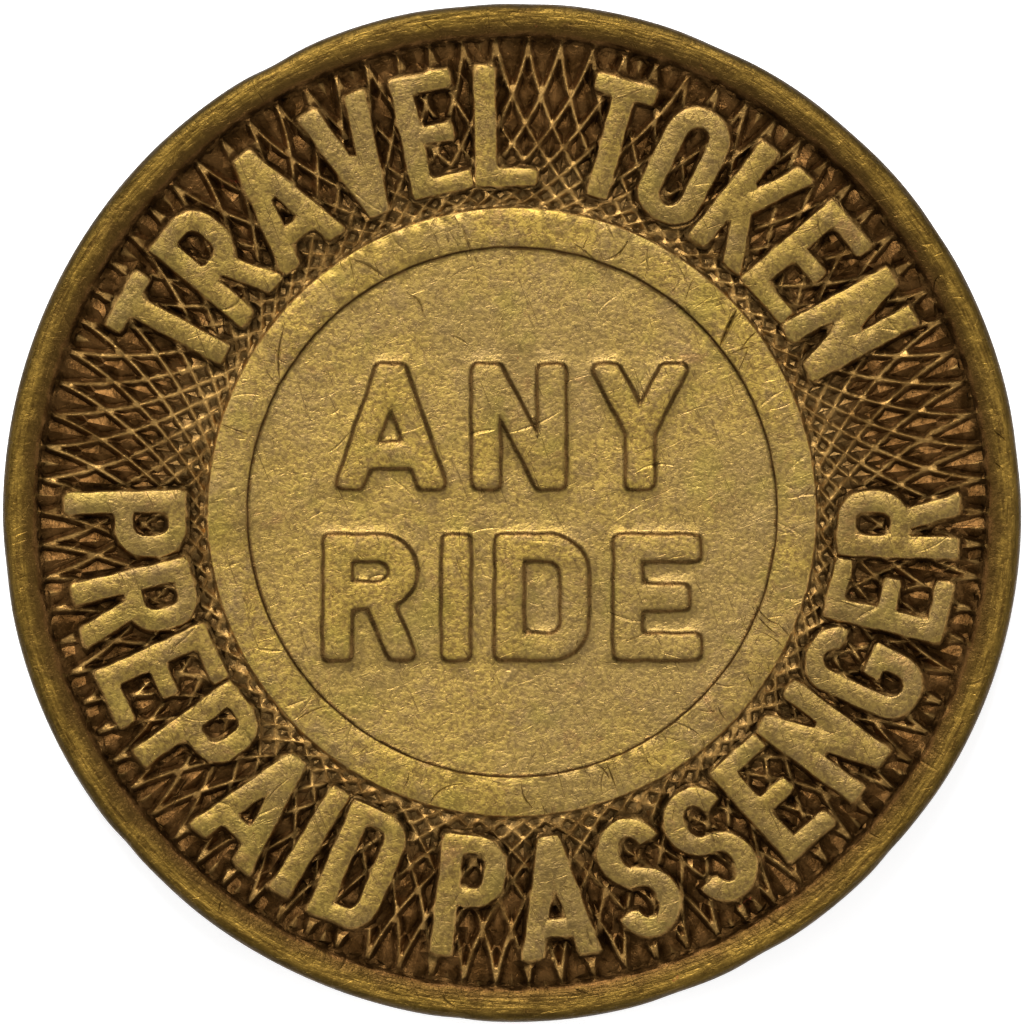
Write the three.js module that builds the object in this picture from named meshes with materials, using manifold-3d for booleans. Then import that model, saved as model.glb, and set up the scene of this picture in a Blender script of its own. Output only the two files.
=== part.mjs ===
// A struck brass fare token: one coined disc with a raised rim, a sunk field carrying a ring
// of lettering, a plain raised ring and a centre disc with two more lines of lettering.
// The reverse repeats the obverse, turned about the token's upright axis, +Y.
// Origin: centre of the underside. +Z leaves the obverse, +Y is the top of the lettering.

import * as THREE from 'three';
import { mergeVertices } from 'three/addons/utils/BufferGeometryUtils.js';
import Module from 'manifold-3d';

const wasm = await Module();
wasm.setup();

// Driving dimensions, in millimetres.
const DIAMETER = 16.5;
const THICKNESS = 1.2;
const SIDES = 72;                  // facets round the edge

// Each step between two levels is a drafted wall, from the radius of its foot to that of its top.
const EDGE_ROUND = 0.12;           // the corner broken between rim and edge
const RIM = { foot: 7.6, top: 7.72 };
const RING = { outerFoot: 4.98, outerTop: 4.91, innerTop: 4.31, innerFoot: 4.26 };

// Levels, as depths below the rim.
const FIELD_DEPTH = 0.17;          // mean level of the engine-turned ground
const RING_DEPTH = 0.03;
const DISC_DEPTH = 0.08;
const LEGEND_DEPTH = 0.04;
const VALUE_DEPTH = 0.015;
const ROOT = 0.1;                  // how far the lettering is rooted in the metal below its ground

// Lettering styles: height, upright stroke, level stroke, corner radius and gap between letters.
const LEGEND = { height: 1.93, stem: 0.32, arm: 0.26, corner: 0.46, gap: 0.24, space: 0.55 };
const VALUE = { height: 2.0, stem: 0.43, arm: 0.4, corner: 0.62, gap: 0.43, space: 0.6 };
const LEGEND_INNER = 5.29;         // radius of the lettering's inner side
const VALUE_BASELINES = [0.38, -2.38];
const ARC_STEP = Math.PI / 6;      // facet angle of the rounded strokes

const UPPER_LEGEND = 'TRAVEL TOKEN';
const LOWER_LEGEND = 'PREPAID PASSENGER';
const VALUE_LINES = ['ANY', 'RIDE'];

// Widths of the letters, as shares of their height; none is narrower than its stem.
const NARROW = 0.5;
const MEDIUM = 0.54;
const WIDE = 0.6;
const LETTER_WIDTHS = {
  A: 0.65, D: MEDIUM, E: NARROW, G: MEDIUM, I: 0.1, K: MEDIUM, L: NARROW, N: MEDIUM, O: MEDIUM,
  P: MEDIUM, R: MEDIUM, S: MEDIUM, T: NARROW, V: WIDE, Y: 0.57,
};
const VALUE_STRETCH = 1.38;        // the centre lines are set wider than the legend

// Heights inside the letters, as shares of the letter's height.
const CROSSBAR = 0.17;             // underside of the A's bar
const BOWL = 0.42;                 // underside of the bowl of a P or R
const MIDDLE = 0.5;                // top of the G's bar, middle of the E's
const FORK = 0.44;                 // where the Y's arms meet its stem
const KICK = { arm: 0.36, leg: 0.56 };  // where the K's strokes leave its stem

// ---- strokes: closed outlines in the plane of the letter ----

function bar(left, bottom, right, top) {
  return new THREE.Shape([
    new THREE.Vector2(left, bottom),
    new THREE.Vector2(right, bottom),
    new THREE.Vector2(right, top),
    new THREE.Vector2(left, top),
  ]);
}

// A sloping stroke with level ends, given by the left corner of each end.
function slant(xLow, yLow, xHigh, yHigh, width) {
  return new THREE.Shape([
    new THREE.Vector2(xLow, yLow),
    new THREE.Vector2(xLow + width, yLow),
    new THREE.Vector2(xHigh + width, yHigh),
    new THREE.Vector2(xHigh, yHigh),
  ]);
}

// A curved stroke: the part of an elliptical ring between two angles, in degrees.
function band(x, y, rx, ry, style, from, to) {
  const start = THREE.MathUtils.degToRad(from);
  const sweep = THREE.MathUtils.degToRad(to - from);
  const steps = Math.round(sweep / ARC_STEP);
  const at = (i, inset) => new THREE.Vector2(
    x + (rx - inset * style.stem) * Math.cos(start + (sweep * i) / steps),
    y + (ry - inset * style.arm) * Math.sin(start + (sweep * i) / steps),
  );
  const outer = Array.from({ length: steps + 1 }, (_, i) => at(i, 0));
  const inner = Array.from({ length: steps + 1 }, (_, i) => at(steps - i, 1));
  return new THREE.Shape([...outer, ...inner]);
}

// The bowl of a P, R or D: a round-cornered bracket open to the left.
function bowl(style, width, bottom, top) {
  const { stem, arm } = style;
  const ry = Math.min(style.corner, (top - bottom) / 2);
  const x = width - style.corner;
  const strokes = [
    bar(stem / 2, top - arm, x, top),
    bar(stem / 2, bottom, x, bottom + arm),
    band(x, top - ry, style.corner, ry, style, 0, 90),
    band(x, bottom + ry, style.corner, ry, style, -90, 0),
  ];
  if (top - bottom > 2 * ry) strokes.push(bar(width - stem, bottom + ry, width, top - ry));
  return strokes;
}

const upright = (style, x = 0) => bar(x, 0, x + style.stem, style.height);

const GLYPHS = {
  A: (s, w) => [
    slant(0, 0, (w - s.stem) / 2, s.height, s.stem),
    slant(w - s.stem, 0, (w - s.stem) / 2, s.height, s.stem),
    bar(s.stem, CROSSBAR * s.height, w - s.stem, CROSSBAR * s.height + s.arm),
  ],
  D: (s, w) => [upright(s), ...bowl(s, w, 0, s.height)],
  E: (s, w) => [
    upright(s),
    bar(s.stem / 2, 0, w, s.arm),
    bar(s.stem / 2, MIDDLE * s.height - s.arm / 2, 0.86 * w, MIDDLE * s.height + s.arm / 2),
    bar(s.stem / 2, s.height - s.arm, w, s.height),
  ],
  G: (s, w) => [
    band(w / 2, s.height - s.corner, w / 2, s.corner, s, 0, 180),
    band(w / 2, s.corner, w / 2, s.corner, s, 180, 360),
    bar(0, s.corner, s.stem, s.height - s.corner),
    bar(w - s.stem, s.corner, w, MIDDLE * s.height),
    bar(w / 2, MIDDLE * s.height - s.arm, w, MIDDLE * s.height),
  ],
  I: (s) => [upright(s)],
  K: (s, w) => [
    upright(s),
    slant(s.stem / 2, KICK.arm * s.height, w - s.stem, s.height, s.stem),
    slant(w - s.stem, 0, s.stem / 2, KICK.leg * s.height, s.stem),
  ],
  L: (s, w) => [upright(s), bar(s.stem / 2, 0, w, s.arm)],
  N: (s, w) => [upright(s), upright(s, w - s.stem), slant(w - s.stem, 0, 0, s.height, s.stem)],
  O: (s, w) => [
    band(w / 2, s.height - s.corner, w / 2, s.corner, s, 0, 180),
    band(w / 2, s.corner, w / 2, s.corner, s, 180, 360),
    bar(0, s.corner, s.stem, s.height - s.corner),
    bar(w - s.stem, s.corner, w, s.height - s.corner),
  ],
  P: (s, w) => [upright(s), ...bowl(s, w, BOWL * s.height, s.height)],
  R: (s, w) => [
    upright(s),
    ...bowl(s, w, BOWL * s.height, s.height),
    slant(w - s.stem, 0, w - 2 * s.stem, BOWL * s.height + s.arm / 2, s.stem),
  ],
  S: (s, w) => {
    const ry = (s.height + s.arm) / 4;
    return [
      band(w / 2, s.height - ry, w / 2, ry, s, 15, 270),
      band(w / 2, ry, w / 2, ry, s, -165, 90),
    ];
  },
  T: (s, w) => [
    bar(0, s.height - s.arm, w, s.height),
    bar((w - s.stem) / 2, 0, (w + s.stem) / 2, s.height),
  ],
  V: (s, w) => [
    slant((w - s.stem) / 2, 0, 0, s.height, s.stem),
    slant((w - s.stem) / 2, 0, w - s.stem, s.height, s.stem),
  ],
  Y: (s, w) => [
    bar((w - s.stem) / 2, 0, (w + s.stem) / 2, FORK * s.height + s.arm / 4),
    slant((w - s.stem) / 2, FORK * s.height, 0, s.height, s.stem),
    slant((w - s.stem) / 2, FORK * s.height, w - s.stem, s.height, s.stem),
  ],
};

// ---- solids ----

function solidOf(geometry) {
  const bare = geometry.clone();
  bare.deleteAttribute('normal');
  bare.deleteAttribute('uv');
  const merged = mergeVertices(bare, 1e-5);
  return new wasm.Manifold(new wasm.Mesh({
    numProp: 3,
    vertProperties: new Float32Array(merged.attributes.position.array),
    triVerts: new Uint32Array(merged.index.array),
  }));
}

function geometryOf(solid) {
  const mesh = solid.getMesh();
  const geometry = new THREE.BufferGeometry();
  geometry.setAttribute('position', new THREE.BufferAttribute(mesh.vertProperties, 3));
  geometry.setIndex(new THREE.BufferAttribute(mesh.triVerts, 1));
  return geometry;
}

// Half of the cross-section, from the axis out to the edge, as radius and depth below the rim.
function faceProfile() {
  return [
    [0, DISC_DEPTH],
    [RING.innerFoot, DISC_DEPTH],
    [RING.innerTop, RING_DEPTH],
    [RING.outerTop, RING_DEPTH],
    [RING.outerFoot, FIELD_DEPTH],
    [RIM.foot, FIELD_DEPTH],
    [RIM.top, 0],
    [DIAMETER / 2 - EDGE_ROUND, 0],
    [DIAMETER / 2, EDGE_ROUND],
  ];
}

function blank() {
  const under = faceProfile().map(([r, depth]) => new THREE.Vector2(r, depth));
  const over = faceProfile().reverse().map(([r, depth]) => new THREE.Vector2(r, THICKNESS - depth));
  return new THREE.LatheGeometry([...under, ...over], SIDES).rotateX(Math.PI / 2);
}

const widthOf = (letter, style, stretch) => Math.max(
  style.stem, LETTER_WIDTHS[letter] * style.height * stretch);

// The letters of one line with the place of each one's left side, and the length of the line.
function setLine(text, style, stretch) {
  let x = 0;
  const letters = [];
  for (const letter of text) {
    if (letter === ' ') {
      x += style.space;
      continue;
    }
    const width = widthOf(letter, style, stretch);
    letters.push({ letter, width, x });
    x += width + style.gap;
  }
  return { letters, length: x - style.gap };
}

// One letter's strokes, centred on its own width, with the flat top at the given depth.
function letterStrokes({ letter, width }, style, depth, ground) {
  const bottom = THICKNESS - ground - ROOT;
  return GLYPHS[letter](style, width).map((shape) => new THREE.ExtrudeGeometry(shape, {
    depth: THICKNESS - depth - bottom,
    bevelEnabled: false,
  }).translate(-width / 2, 0, bottom));
}

// A line of lettering bent round the token: side 1 runs over the top, side -1 under the bottom.
function legend(text, side) {
  const middle = LEGEND_INNER + LEGEND.height / 2;
  const baseline = side > 0 ? LEGEND_INNER : -LEGEND_INNER - LEGEND.height;
  const line = setLine(text, LEGEND, 1);
  return line.letters.flatMap((item) => {
    const along = item.x + item.width / 2 - line.length / 2;
    return letterStrokes(item, LEGEND, LEGEND_DEPTH, FIELD_DEPTH).map((geometry) => (
      geometry.translate(0, baseline, 0).rotateZ((-side * along) / middle)
    ));
  });
}

function valueLine(text, baseline) {
  const line = setLine(text, VALUE, VALUE_STRETCH);
  return line.letters.flatMap((item) => {
    const along = item.x + item.width / 2 - line.length / 2;
    return letterStrokes(item, VALUE, VALUE_DEPTH, DISC_DEPTH).map((geometry) => (
      geometry.translate(along, baseline, 0)
    ));
  });
}

function struckToken() {
  const obverse = [
    ...legend(UPPER_LEGEND, 1),
    ...legend(LOWER_LEGEND, -1),
    ...VALUE_LINES.flatMap((text, i) => valueLine(text, VALUE_BASELINES[i])),
  ];
  const reverse = obverse.map((geometry) => (
    geometry.clone().rotateY(Math.PI).translate(0, 0, THICKNESS)
  ));
  return wasm.Manifold.union([blank(), ...obverse, ...reverse].map(solidOf));
}

const brass = new THREE.MeshStandardMaterial({ color: 0xa2843f, roughness: 0.45, metalness: 0.9 });
const token = new THREE.Mesh(geometryOf(struckToken()), brass);
token.name = 'struck_token';

const object = new THREE.Group();
object.add(token);

export default object;
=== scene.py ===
"""The looks of a worn, struck brass fare token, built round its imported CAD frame.

Shapes are worked out on one face of the token in millimetres, as depths below its rim, and
become metres when the mesh is made. The reverse repeats the obverse, turned about +Y.
"""

import math
from collections import namedtuple

import bpy
import numpy as np
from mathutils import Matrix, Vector
from mathutils.geometry import delaunay_2d_cdt


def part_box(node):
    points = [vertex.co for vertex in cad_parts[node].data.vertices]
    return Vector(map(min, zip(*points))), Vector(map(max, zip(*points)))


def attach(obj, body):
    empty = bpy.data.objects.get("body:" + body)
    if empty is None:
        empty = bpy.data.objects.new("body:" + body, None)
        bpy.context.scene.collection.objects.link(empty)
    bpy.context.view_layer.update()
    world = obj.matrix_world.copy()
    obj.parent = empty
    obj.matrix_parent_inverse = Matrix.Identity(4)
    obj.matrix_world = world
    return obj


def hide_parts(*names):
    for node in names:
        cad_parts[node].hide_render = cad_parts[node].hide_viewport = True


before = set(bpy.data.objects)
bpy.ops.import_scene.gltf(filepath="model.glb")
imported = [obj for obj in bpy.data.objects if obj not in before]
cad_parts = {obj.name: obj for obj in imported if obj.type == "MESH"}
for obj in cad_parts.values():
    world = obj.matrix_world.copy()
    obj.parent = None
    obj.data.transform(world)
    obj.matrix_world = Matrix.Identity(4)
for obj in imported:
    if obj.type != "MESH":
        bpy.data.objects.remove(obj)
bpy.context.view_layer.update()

NODE = "struck_token"
MM = 0.001
LOW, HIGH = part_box(NODE)
RADIUS = (HIGH.x - LOW.x) / 2 / MM
THICKNESS = (HIGH.z - LOW.z) / MM

# ---- circles, depths and walls of a face, in millimetres ----

EDGE_ROUND = 0.15  # the worn corner between rim and edge
LAND_OUT = RADIUS - EDGE_ROUND  # where a face ends and its edge begins
RIM_IN = 7.72
RIM_STEP_IN, RIM_STEP_OUT = 7.80, 7.85  # a small worn step on the rim's land
RIM_STEP = 0.015  # and its height
RIM_LEAN = 0.075  # slope of the land, down inwards
RING_IN, RING_OUT = 4.31, 4.91

RING_DEPTH = 0.03
DISC_DEPTH = 0.085
LEGEND_DEPTH = 0.035
VALUE_DEPTH = 0.012

DRAFT = 1.7  # slope of the struck walls
VALUE_DRAFT = 1.15  # slope of the centre letters' walls
OUTER_DRAFT = 0.95  # slope at the outer ends of the legend's letters
OUTER_AT = 6.95  # from here out to those ends the walls lie back more and more
SHOULDER = 0.008  # rounding of a wall's top
RIM_SHOULDER = 0.03
VALUE_SHOULDER = 0.03
VALUE_FOOT = 0.084  # how far from a centre letter the soft foot of its wall reaches
FOOT_SLOPE = 0.38
DISC_IN = RING_IN - (DISC_DEPTH - RING_DEPTH) / DRAFT  # foot of the step inside the ring
WAVER = 0.0045  # how far the letters' outlines wander
RING_WAVER, RIM_WAVER, STEP_WAVER = 0.7, 2, 5  # and the circles', as multiples of that

# ---- engine-turned ground: one hypocycloid that closes after touching every cusp ----

CUSPS = 90
STRIDE = 19
CUSP_RADIUS = 7.70
ROLL = CUSP_RADIUS * STRIDE / CUSPS
PITCH = 2 * math.pi / CUSPS
GROUND_IN = 5.0
CRESTS = {1: 0.082, -1: 0.100}  # depth of the ridges that lean each way
CREST_HALF = {1: 0.011, -1: 0.007}
CREST_SHOULDER = 0.012
FLANK = 1.6  # slope of a ridge's sides
VALLEY = 0.20
VALLEY_AT = 0.085  # how far a valley lies from its ridge
SHALLOW = 0.04  # how much the valleys rise from the outside inwards
SHALLOW_IN, SHALLOW_OUT = 5.0, 6.6
HIP = 0.52  # slope of the small pyramid that stands in each cell
HIP_LIMIT = 0.12  # and its greatest height
HIP_OUT = 7.80  # where the outermost pyramids would end if the rim didn't cut them off
CREST_SPREAD, VALLEY_SPREAD = 0.008, 0.010  # how uneven their depths are
HALF_SPREAD, HIP_SPREAD = (0.8, 1.25), (0.55, 1.25)
GROUND_TARNISH = 0.017  # how much browner its ridges are, as if they lay this much deeper

# ---- wear ----

OBVERSE_SEED, REVERSE_SEED, OUTLINE_SEED = 7, 11, 23
# The large cracks across the ring: angle in degrees and radius of each end, half width, depth.
RING_CRACKS = (
    (42.0, 4.90, 38.5, 4.29, 0.050, 0.050),
    (66.9, 4.80, 70.2, 4.33, 0.030, 0.026),
    (76.8, 4.45, 71.4, 4.27, 0.030, 0.022),
    (5.1, 4.90, 2.9, 4.38, 0.026, 0.018),
    (-24.8, 4.70, -23.0, 4.32, 0.018, 0.016),
    (-44.2, 4.62, -46.8, 4.36, 0.024, 0.020),
    (-69.3, 4.74, -69.4, 4.34, 0.024, 0.022),
    (-86.0, 4.80, -88.0, 4.38, 0.026, 0.022),
    (-105.8, 4.92, -100.4, 4.48, 0.030, 0.026),
    (-136.0, 4.90, -133.4, 4.32, 0.028, 0.026),
    (-152.0, 4.70, -148.8, 4.34, 0.036, 0.020),
    (163.2, 4.92, 163.6, 4.40, 0.020, 0.018),
    (141.4, 4.73, 150.2, 4.33, 0.046, 0.036),
    (122.3, 4.83, 118.6, 4.32, 0.046, 0.030),
)
# The folds across the centre letters: both ends, half width, depth.
LETTER_FOLDS = (
    ((-0.72, 1.24), (-0.28, 1.33), 0.045, 0.024),
    ((-0.10, 1.27), (0.78, 1.63), 0.030, 0.016),
    ((-2.35, -1.10), (-2.05, -1.02), 0.040, 0.020),
    ((1.55, -1.62), (2.10, -1.78), 0.026, 0.012),
)
# The large nicks on the disc, given like the folds.
DISC_NICKS = (
    ((-1.66, 3.52), (-1.44, 3.20), 0.040, 0.026),
    ((-1.03, 2.86), (-0.72, 2.71), 0.030, 0.020),
    ((1.98, 0.62), (2.62, 0.74), 0.030, 0.016),
    ((-2.98, 0.95), (-2.62, 1.30), 0.024, 0.014),
)
# Scattered marks: how many, between which radii, turned how far from the radius at most, and the
# least and greatest length, half width and depth.
SCATTERED = (
    (64, (4.40, 4.84), 35, (0.15, 0.55), (0.012, 0.030), (0.006, 0.020)),
    (34, (7.80, 8.06), 60, (0.12, 0.45), (0.012, 0.026), (0.005, 0.016)),
    (40, (5.50, 7.10), 85, (0.20, 0.70), (0.010, 0.024), (0.005, 0.016)),
    (14, (5.60, 7.00), 85, (0.30, 0.60), (0.028, 0.045), (0.010, 0.022)),
    (24, (0.30, 4.10), 85, (0.15, 0.60), (0.009, 0.016), (0.003, 0.008)),
)
MARK_BOW = 0.08  # how much marks bend, as a share of their length
# Scattered dents: how many, and between which radii.
DENTS = (
    (70, 7.75, 8.15),
    (45, 4.35, 4.85),
    (60, 5.4, 7.1),
    (50, 0.4, 3.6),
)
DENT_REACH, DENT_DEPTH = (0.06, 0.20), (-0.004, 0.010)
WAVES, WAVE_RATE, WAVE_HEIGHT = 9, (1.0, 5.0), 0.0013  # the slight waviness of a face
LOBES, LOBE_HEIGHT = range(2, 9), 0.004  # how the outline is out of round
BRUISES, BRUISE_HALF, BRUISE_DEPTH = 18, (1.5, 5.0), (0.005, 0.03)  # halves are in degrees

# Dirt and painted shade along a line, at the feet of the centre letters, the step inside the ring, the
# legend's letters and the rim's wall: how strong it is, how far outside the line it lies and how far it
# spreads.
VALUE_DIRT_AND_SHADE = (1.6, 0.029, 0.038)
STEP_DIRT_AND_SHADE = (1.2, 0.0, 0.034)
LEGEND_DIRT_AND_SHADE = (1.0, 0.10, 0.06)
RIM_FOOT_DIRT_AND_SHADE = (1.4, -0.08, 0.075)
MARK_DARK_FROM, MARK_DARK_OVER, MARK_DARKEST = 0.005, 0.013, 0.65  # depths at which marks begin to darken and are fully darkened, and how dark they get at most
# Painted shade on the edge, darkest where it stands furthest out.
EDGE_PAINTED_SHADE = 0.75

# ---- spacing of the mesh's points ----

EDGE_STEPS = 540
ROW_STEP = 0.09
LINE_STEPS = ((5.0, 0.08), (6.0, 0.10), (7.7, 0.15))  # along a ridge, by radius
HIP_STEP = 0.12
MARK_STEP = 0.06
MARK_ROWS = (0, 1, -1, 2.2, -2.2)  # lines along a mark, in half widths
CONTOUR_CELL, CONTOUR_STEP = 0.04, 0.10
LEGEND_LEVELS = (-0.015, 0.003, 0.045, 0.085)  # loops round a letter, by distance from it
VALUE_LEVELS = (-0.055, -0.018, 0.002, 0.030, 0.055, 0.085)
FILL_STEP = 0.14
LETTER_CLEAR, VALLEY_CLEAR, FILL_CLEAR = 0.085, 0.03, 0.075
MERGE = 1e-4  # points nearer than this become one
CREASE = math.radians(27)  # edges sharper than this are shaded as edges
FAR = 1.0  # stands for any distance too great to matter


# ---- lettering: strokes as closed outlines, in the plane of the letter ----

# A style of lettering. The corner is a round corner's radius, the gap and space are those between
# letters and words, stretch multiplies the widths, and softness rounds the outlines.
Style = namedtuple("Style", "height stem arm corner gap space stretch softness")
LEGEND = Style(1.93, 0.32, 0.26, 0.46, 0.24, 0.55, 1.0, 0.03)
VALUE = Style(2.0, 0.43, 0.4, 0.62, 0.43, 0.6, 1.38, 0.08)
LEGEND_INNER = 5.29
VALUE_LINES = {"ANY": 0.38, "RIDE": -2.38}  # each line's baseline
UPPER_LEGEND = "TRAVEL TOKEN"
LOWER_LEGEND = "PREPAID PASSENGER"
NARROW, MEDIUM, WIDE = 0.5, 0.54, 0.6  # widths as shares of the height
LETTER_WIDTHS = {
    "A": 0.65, "D": MEDIUM, "E": NARROW, "G": MEDIUM, "I": 0.1, "K": MEDIUM, "L": NARROW,
    "N": MEDIUM, "O": MEDIUM, "P": MEDIUM, "R": MEDIUM, "S": MEDIUM, "T": NARROW, "V": WIDE,
    "Y": 0.57,
}
# Where strokes meet, as shares of the height.
CROSSBAR = 0.17
BOWL = 0.42
MIDDLE = 0.5
FORK = 0.44
KICK_ARM, KICK_LEG = 0.36, 0.56
ARC_STEP = math.radians(7.5)
LETTER_MARGIN = 0.3  # how far round a letter distances to it are worked out


def bar(left, bottom, right, top):
    return np.array([(left, bottom), (right, bottom), (right, top), (left, top)], float)


def slant(x_low, y_low, x_high, y_high, width):
    """A sloping stroke with level ends, given by the left corner of each end."""
    corners = [(x_low, y_low), (x_low + width, y_low), (x_high + width, y_high), (x_high, y_high)]
    return np.array(corners, float)


def band(x, y, rx, ry, style, start, stop):
    """A curved stroke: the part of an elliptical ring between two angles, in degrees."""
    sweep = math.radians(stop - start)
    angles = math.radians(start) + np.linspace(0, sweep, round(sweep / ARC_STEP) + 1)
    ring = np.stack([np.cos(angles), np.sin(angles)], 1)
    outer = ring * (rx, ry)
    inner = ring[::-1] * (rx - style.stem, ry - style.arm)
    return np.concatenate([outer, inner]) + (x, y)


def bowl(style, width, bottom, top):
    """The bowl of a P, R or D: a round-cornered bracket open to the left."""
    stem, arm = style.stem, style.arm
    ry = min(style.corner, (top - bottom) / 2)
    x = width - style.corner
    strokes = [
        bar(stem / 2, top - arm, x + arm / 4, top),
        bar(stem / 2, bottom, x + arm / 4, bottom + arm),
        band(x, top - ry, style.corner, ry, style, -5, 90),
        band(x, bottom + ry, style.corner, ry, style, -90, 5),
    ]
    if top - bottom > 2 * ry:
        strokes.append(bar(width - stem, bottom + ry - arm / 4, width, top - ry + arm / 4))
    return strokes


def oval(s, w, right_top):
    """The sides and round ends of an O or G, with the right side up to a given height."""
    lap = s.arm / 4
    return [
        band(w / 2, s.height - s.corner, w / 2, s.corner, s, 0, 180),
        band(w / 2, s.corner, w / 2, s.corner, s, 180, 360),
        bar(0, s.corner - lap, s.stem, s.height - s.corner + lap),
        bar(w - s.stem, s.corner - lap, w, right_top),
    ]


def upright(s, x=0.0):
    return bar(x, 0, x + s.stem, s.height)


def letter_s(s, w):
    ry = (s.height + s.arm) / 4
    return [
        band(w / 2, s.height - ry, w / 2, ry, s, 15, 272),
        band(w / 2, ry, w / 2, ry, s, -165, 92),
    ]


# The strokes of each letter, for a style s and a width w.
GLYPHS = {
    "A": lambda s, w: [
        slant(0, 0, (w - s.stem) / 2, s.height, s.stem),
        slant(w - s.stem, 0, (w - s.stem) / 2, s.height, s.stem),
        bar(s.stem * 0.8, CROSSBAR * s.height, w - s.stem * 0.8, CROSSBAR * s.height + s.arm),
    ],
    "D": lambda s, w: [upright(s), *bowl(s, w, 0, s.height)],
    "E": lambda s, w: [
        upright(s),
        bar(s.stem / 2, 0, w, s.arm),
        bar(s.stem / 2, MIDDLE * s.height - s.arm / 2, 0.86 * w, MIDDLE * s.height + s.arm / 2),
        bar(s.stem / 2, s.height - s.arm, w, s.height),
    ],
    "G": lambda s, w: [
        *oval(s, w, MIDDLE * s.height),
        bar(w / 2, MIDDLE * s.height - s.arm, w, MIDDLE * s.height),
    ],
    "I": lambda s, w: [upright(s)],
    "K": lambda s, w: [
        upright(s),
        slant(s.stem / 2, KICK_ARM * s.height, w - s.stem, s.height, s.stem),
        slant(w - s.stem, 0, s.stem / 2, KICK_LEG * s.height, s.stem),
    ],
    "L": lambda s, w: [upright(s), bar(s.stem / 2, 0, w, s.arm)],
    "N": lambda s, w: [upright(s), upright(s, w - s.stem), slant(w - s.stem, 0, 0, s.height, s.stem)],
    "O": lambda s, w: oval(s, w, s.height - s.corner + s.arm / 4),
    "P": lambda s, w: [upright(s), *bowl(s, w, BOWL * s.height, s.height)],
    "R": lambda s, w: [
        upright(s),
        *bowl(s, w, BOWL * s.height, s.height),
        slant(w - s.stem, 0, w - 2 * s.stem, BOWL * s.height + s.arm / 2, s.stem),
    ],
    "S": letter_s,
    "T": lambda s, w: [
        bar(0, s.height - s.arm, w, s.height),
        bar((w - s.stem) / 2, 0, (w + s.stem) / 2, s.height),
    ],
    "V": lambda s, w: [
        slant((w - s.stem) / 2, 0, 0, s.height, s.stem),
        slant((w - s.stem) / 2, 0, w - s.stem, s.height, s.stem),
    ],
    "Y": lambda s, w: [
        bar((w - s.stem) / 2, 0, (w + s.stem) / 2, FORK * s.height + s.arm / 3),
        slant((w - s.stem) / 2, FORK * s.height, 0, s.height, s.stem),
        slant((w - s.stem) / 2, FORK * s.height, w - s.stem, s.height, s.stem),
    ],
}


def turned(points, angle):
    c, s = math.cos(angle), math.sin(angle)
    return points @ np.array([(c, s), (-s, c)])


def shrunk(outline, amount):
    """An outline drawn in by an even amount, which its distance field gives back with round corners."""
    ahead = np.roll(outline, -1, axis=0) - outline
    ahead /= np.linalg.norm(ahead, axis=1)[:, None]
    behind = np.roll(ahead, 1, axis=0)
    inward = np.stack([-ahead[:, 1] - behind[:, 1], ahead[:, 0] + behind[:, 0]], 1)
    inward /= 1 + (ahead * behind).sum(1)[:, None]
    return outline + amount * inward


class Letter:
    """One letter in its place on the face."""

    def __init__(self, strokes, style):
        self.strokes = [shrunk(s, style.softness) for s in strokes]
        self.softness = style.softness
        corners = np.concatenate(strokes)
        self.low = corners.min(0)
        self.high = corners.max(0)

    def distance(self, points):
        """Signed distance to the letter's outline, negative inside it."""
        nearest = np.min([outline_distance(points, s) for s in self.strokes], axis=0)
        return nearest - self.softness + waver(points)


def waver(points):
    """The slight wandering of an outline that was cut by hand and worn in use."""
    x, y = points[:, 0], points[:, 1]
    return WAVER * (np.sin(9.1 * x + 2.3 * y) + np.sin(3.7 * x - 8.3 * y + 1.0) + np.sin(15 * x + 13 * y))


def outline_distance(points, outline):
    """Signed distance from points to one closed outline, negative inside."""
    start = outline[None]
    end = np.roll(outline, -1, axis=0)[None]
    step = end - start
    offset = points[:, None] - start
    along = np.clip((offset * step).sum(2) / (step * step).sum(2), 0, 1)
    gap = offset - along[..., None] * step
    nearest = np.sqrt((gap * gap).sum(2).min(1))
    y = points[:, 1, None]
    rise = np.where(step[..., 1] == 0, 1e-12, step[..., 1])
    spans = (start[..., 1] > y) != (end[..., 1] > y)
    cuts = spans & (offset[..., 0] < offset[..., 1] * step[..., 0] / rise)
    return np.where(cuts.sum(1) % 2 == 1, -nearest, nearest)


def set_line(text, style):
    """The letters of a line with the middle of each, measured from the middle of the line."""
    x = 0.0
    places = []
    for name in text:
        if name == " ":
            x += style.space
            continue
        width = max(style.stem, LETTER_WIDTHS[name] * style.height * style.stretch)
        places.append((name, width, x + width / 2))
        x += width + style.gap
    length = x - style.gap
    return [(name, width, middle - length / 2) for name, width, middle in places]


def legend(text, side):
    """Lettering bent round the token, over the top for side 1 and under the bottom for side -1."""
    middle = LEGEND_INNER + LEGEND.height / 2
    baseline = LEGEND_INNER if side > 0 else -LEGEND_INNER - LEGEND.height
    letters = []
    for name, width, along in set_line(text, LEGEND):
        strokes = [s + (-width / 2, baseline) for s in GLYPHS[name](LEGEND, width)]
        angle = -side * along / middle
        letters.append(Letter([turned(s, angle) for s in strokes], LEGEND))
    return letters


def value_line(text, baseline):
    """A straight line of the large lettering in the centre."""
    letters = []
    for name, width, along in set_line(text, VALUE):
        strokes = [s + (along - width / 2, baseline) for s in GLYPHS[name](VALUE, width)]
        letters.append(Letter(strokes, VALUE))
    return letters


LEGEND_LETTERS = legend(UPPER_LEGEND, 1) + legend(LOWER_LEGEND, -1)
VALUE_LETTERS = [c for text, base in VALUE_LINES.items() for c in value_line(text, base)]


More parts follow.
